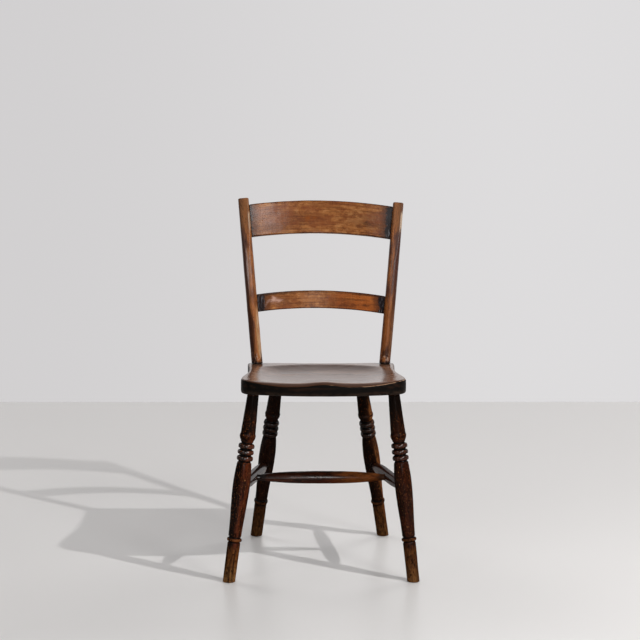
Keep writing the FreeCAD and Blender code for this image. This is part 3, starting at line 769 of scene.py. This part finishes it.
# %% The posts
def post_finish(node, seed, outside, stain):
    """Brown wood with a dark outer half. Outside is -1 for the left post and 1 for the right."""
    material, place = start_finish(node + "_finish")
    grain = along_grain(place, node, 2)
    height = place.part(2)
    fibre = grain.stretch(460, 460, 14).noise(seed, 3)
    line = grain.stretch(190, 190, 7).noise(seed + 1, 4, 0.6)
    cloud = grain.stretch(80, 80, 20).noise(seed + 2, 4, 0.6)
    pit = grain.stretch(320, 320, 120).noise(seed + 3, 3, 0.6)

    colour = place.flat(post_brown)
    colour = colour.tint(post_light, line.ramp(0.46, 0.62) * 0.7)
    colour = colour.tint(post_cloud, cloud.ramp(0.47, 0.62) * 0.8)
    colour = colour.tint(post_fibre, fibre.ramp(0.50, 0.64) * 0.6)
    below_flat = height.ramp(0.780, 0.735)
    colour = colour.tint(planed_top, (1 - below_flat) * (0.4 + cloud * 0.6))
    outer = (grain.part(0) * outside + (cloud - 0.5) * 0.02).ramp(-0.002, 0.006)
    colour = colour.tint(outer_dark, outer * (0.45 + below_flat * 0.45))
    hand_height = height.ramp(0.56, 0.64) * below_flat
    dark = hand_height * (cloud * 0.6 + line * 0.4).ramp(0.36, 0.56)
    colour = colour.tint(hand_stain, dark * stain)
    # A painted highlight: a pale streak of sheen, weaker on the stained right post.
    streak = mark(grain, (-0.003, 0, 0.665), (0.0045, 0, 0.070), (cloud - 0.5) * 1.5)
    colour = colour.tint(painted_highlight_streak, streak * line.ramp(0.42, 0.54) * (1 - stain))
    colour = rub_and_highlight_post(colour, grain, height, cloud, line, stain)
    colour = chip_post(colour, height, cloud, pit)

    roughness = 0.30 + fibre * 0.16 + pit.ramp(0.55, 0.68) * 0.2
    coat = 0.25 + hand_height * 0.45
    relief = fibre * 0.4 + line * 0.4 + cloud * 0.5 - pit.ramp(0.58, 0.68) * 0.5
    return end_finish(material, colour, roughness, coat, relief, depth=0.0006, gloss=0.02,
                      polish=0.32)


dress("back_post_left", post_finish("back_post_left", seed=103.0, outside=-1, stain=0.35))
dress("back_post_right", post_finish("back_post_right", seed=113.0, outside=1, stain=0.9))

# %% [markdown]
# ## The seat
# Trousers and skirts have polished the saddle to a satin brown. The side walls and the rolled
# front edge are a warmer, darker brown: partly their own worn tone, partly painted shade where
# they tilt away from the saddle's sheen. A thin pale line marks where the edge is rubbed through.
# The seat is darker in a ring round each post, and the sides of the plank are nearly black. Where
# one finish ends and the next begins depends on which way the wood faces, so the masks come from
# the two directions that each vertex stores, and they follow the carving exactly.

# %% Colours of the seat
saddle_brown = (0.155, 0.070, 0.036)
saddle_light = (0.24, 0.122, 0.066)
saddle_cloud = (0.085, 0.033, 0.015)
saddle_fibre = (0.045, 0.017, 0.008)
wall_brown_and_shade = (0.085, 0.030, 0.011)
lip_brown_and_shade = (0.048, 0.020, 0.011)
post_ring_tone = (0.022, 0.008, 0.004)
plank_black = (0.0042, 0.0032, 0.0026)
plank_line = (0.022, 0.010, 0.006)
plank_low_edge_tone = (0.026, 0.016, 0.011)
rubbed_line = (0.42, 0.25, 0.15)
seat_pit = (0.012, 0.007, 0.005)
post_foot_height = 0.443
ring_reach = 0.034
print("dirt reaches", ring_reach, "m round the posts")

# %% [markdown]
# The plank's grain runs from side to side, so its noises are drawn out along X and need no middle
# line. The coat is full on the saddle, weaker on the walls and gone on the plank's sides.

# %% The saddled plank
def seat_finish(node, seed):
    """Satin brown on the saddle, near black on the plank's edges and underside."""
    material, place = start_finish(node + "_finish")
    facing = place.stored("facing")
    ahead = place.stored("ahead")
    fibre = place.stretch(12, 420, 420).noise(seed, 3)
    line = place.stretch(5, 110, 110).noise(seed + 1, 4, 0.6)
    cloud = place.stretch(16, 34, 34).noise(seed + 2, 5, 0.6)
    pit = place.stretch(180, 500, 500).noise(seed + 3, 2)
    stain = place.stretch(45, 90, 90).noise(seed + 4, 5, 0.65)

    colour = place.flat(saddle_brown)
    colour = colour.tint(saddle_light, line.ramp(0.46, 0.64) * 0.7)
    colour = colour.tint(saddle_cloud, cloud.ramp(0.46, 0.64) * 0.8)
    colour = colour.tint(saddle_fibre, fibre.ramp(0.52, 0.66) * 0.6)
    # Painted shade over a warmer tone: darker on the lip and walls, where the wood tilts away.
    lip = (ahead + (cloud - 0.5) * 0.06).ramp(-0.025, 0.16)
    wall = (facing + (cloud - 0.5) * 0.03).ramp(0.990, 0.945)
    colour = colour.tint(wall_brown_and_shade, wall * 0.85)
    colour = colour.tint(lip_brown_and_shade, lip * 0.9)
    # The seat is darker in a ring round each post's foot.
    for post in ("back_post_left", "back_post_right"):
        lines = middle_line(post, 2)
        x, y = [float(np.polyval(factors, post_foot_height)) for factors in lines]
        ring = mark(place, (x, y, 0), (ring_reach, ring_reach, 0), (stain - 0.5) * 1.6)
        colour = colour.tint(post_ring_tone, ring * 0.85)
    side = (facing + (stain - 0.5) * 0.35).ramp(0.78, 0.55)
    colour = colour.tint(plank_black, side)
    colour = colour.tint(plank_line, side * line.ramp(0.52, 0.64) * 0.6)
    # The plank's sides are a little lighter along their lower edge.
    low_edge = place.part(2).ramp(0.443, 0.434) * stain.ramp(0.38, 0.52)
    colour = colour.tint(plank_low_edge_tone, side * low_edge * 0.8)
    rubbed = (facing + (stain - 0.5) * 0.3).ramp(0.56, 0.66) * facing.ramp(0.86, 0.74)
    front = place.part(1).ramp(-0.16, -0.18) * place.part(0).ramp(-0.02, 0.05)
    colour = colour.tint(rubbed_line, rubbed * front * line.ramp(0.42, 0.50) * 0.8)
    colour = colour.tint(seat_pit, pit.ramp(0.62, 0.69) * 0.6)

    roughness = 0.27 + fibre * 0.12 + cloud * 0.10 + side * 0.10
    front_half = place.part(1).ramp(0.0, -0.1)
    shine = 0.82 + cloud * 0.3 + ahead.ramp(-0.06, -0.13) * 0.15
    coat = (1 - side) * (1 - lip * (0.2 + front_half * 0.7)) * (1 - wall * 0.5) * shine
    relief = fibre * 0.5 + line * 0.3 - pit.ramp(0.58, 0.69) * 0.5
    return end_finish(material, colour, roughness, coat, relief, depth=0.0002, gloss=0.04,
                      polish=0.2)


dress("seat", seat_finish("seat", seed=127.0))

# %% [markdown]
# ## Pegs and wedges
# Small pegs pin the rails from behind, and wedges spread the posts' ends under the seat. They are
# too small to need a new shape, so their CAD meshes stay and only take a finish: pale end grain
# that has darkened with age.

# %% The pegs and wedges
peg_pale = (0.24, 0.13, 0.06)
peg_stain = (0.08, 0.035, 0.015)
peg_dot = (0.04, 0.018, 0.009)


def peg_finish(name, seed):
    """Pale wood with fine end-grain dots and dark stains."""
    material, place = start_finish(name)
    dot = place.stretch(900, 900, 900).noise(seed, 2)
    stain = place.stretch(140, 140, 140).noise(seed + 1, 4, 0.6)
    colour = place.flat(peg_pale)
    colour = colour.tint(peg_stain, stain.ramp(0.42, 0.62) * 0.8)
    colour = colour.tint(peg_dot, dot.ramp(0.56, 0.68) * 0.7)
    return end_finish(material, colour, 0.5 + dot * 0.2, stain * 0.2, dot, depth=0.0002,
                      gloss=0.2, polish=0.3)


peg_wood = peg_finish("pale_peg_finish", seed=131.0)
for node in sorted(slots):
    if slots[node] == peg_slot:
        for slot in frame["nodes"][node].material_slots:
            slot.material = peg_wood
        print(node, "finished")

# %% [markdown]
# ## The studio
# The chair stands on a plain pale floor. A pale backdrop glows softly behind it, a little brighter
# on the right, and the room in front is dim, which is why dark varnish keeps its depth. A backdrop
# can be lit by lamps, but they would brighten the chair and the floor as well. One that glows by
# itself is easy to set to the right grey.

# %% Floor, backdrop and room
floor_width = 10.0
floor_front = -5.0
floor_back = 1.83
floor_colour = (0.69, 0.672, 0.658)
wall_size = (24.0, 12.0)
wall_middle = (0, 6.5, 4.0)
wall_colour = (0.05, 0.05, 0.05)
left_glow = (0.625, 0.612, 0.617)
right_glow = (0.708, 0.697, 0.703)
air_colour = (0.10, 0.099, 0.099)


def plain_finish(name, colour, roughness):
    """A one-colour material for the studio."""
    material, place = start_finish(name)
    shader = material.node_tree.nodes["Principled BSDF"]
    shader.inputs["Base Color"].default_value = (*colour, 1.0)
    shader.inputs["Roughness"].default_value = roughness
    return material, place, shader


def sheet(name, size, location, tilt, material):
    """A flat sheet of the studio: its width and depth, its middle and its tilt about X."""
    bpy.ops.object.select_all(action="DESELECT")
    bpy.ops.mesh.primitive_plane_add(size=1.0, location=location, rotation=(tilt, 0, 0))
    plane = bpy.context.object
    plane.name = name
    plane.scale = (*size, 1.0)
    bpy.ops.object.transform_apply(location=True, rotation=True, scale=True)
    plane.data.materials.append(material)
    print(name, size)


floor_finish, _, _ = plain_finish("pale_floor", floor_colour, 0.35)
floor_middle = (0, (floor_front + floor_back) / 2, 0)
sheet("studio_floor", (floor_width, floor_back - floor_front), floor_middle, 0, floor_finish)
wall_finish, wall_place, wall_shader = plain_finish("pale_backdrop", wall_colour, 0.9)
glow = wall_place.flat(left_glow).tint(right_glow, wall_place.part(0).ramp(-1.6, 1.4))
wall_finish.node_tree.links.new(glow.socket, wall_shader.inputs["Emission Color"])
wall_shader.inputs["Emission Strength"].default_value = 1.0
sheet("studio_backdrop", wall_size, wall_middle, math.pi / 2, wall_finish)

world = bpy.data.worlds.new("studio_air")
bpy.context.scene.world = world
world.use_nodes = True
world.node_tree.nodes["Background"].inputs["Color"].default_value = (*air_colour, 1.0)

# %% [markdown]
# ## The lamps
# A small lamp makes a sharp shadow and a broad lamp a soft one, so the size of each lamp matters
# as much as its place. One small lamp high on the right throws the clear shadow to the left.
# Three broad lamps in front, one near the middle and one at each side, soften that shadow and show
# the wood. Two more, high at the back, keep the far floor pale.

# %% Hang the lamps
def lamp(name, spot, target, size, power):
    """A round soft lamp at a spot, aimed at a target."""
    light = bpy.data.lights.new(name, "AREA")
    light.shape = "DISK"
    light.size = size
    light.energy = power
    holder = bpy.data.objects.new(name, light)
    bpy.context.scene.collection.objects.link(holder)
    aim = Vector(target) - Vector(spot)
    holder.location = spot
    holder.rotation_euler = aim.to_track_quat("-Z", "Y").to_euler()
    print(name, "at", spot, power, "W")


lamp("key_lamp", (1.64, -1.3, 2.35), (0, 0, 0.35), size=0.06, power=50.0)
lamp("front_lamp", (0.6, -6.5, 1.7), (0, 0, 0.5), size=1.5, power=62.0)
lamp("right_lamp", (2.6, -4.0, 2.75), (0, 0, 0.5), size=1.2, power=60.0)
lamp("left_lamp", (-2.8, -3.4, 2.8), (-0.4, 0, 0.2), size=2.0, power=26.0)
lamp("rear_left_lamp", (-2.3, 2.0, 2.6), (-0.8, 1.0, 0), size=2.0, power=29.0)
lamp("rear_right_lamp", (2.3, 2.4, 2.6), (0.9, 1.4, 0), size=2.0, power=37.0)
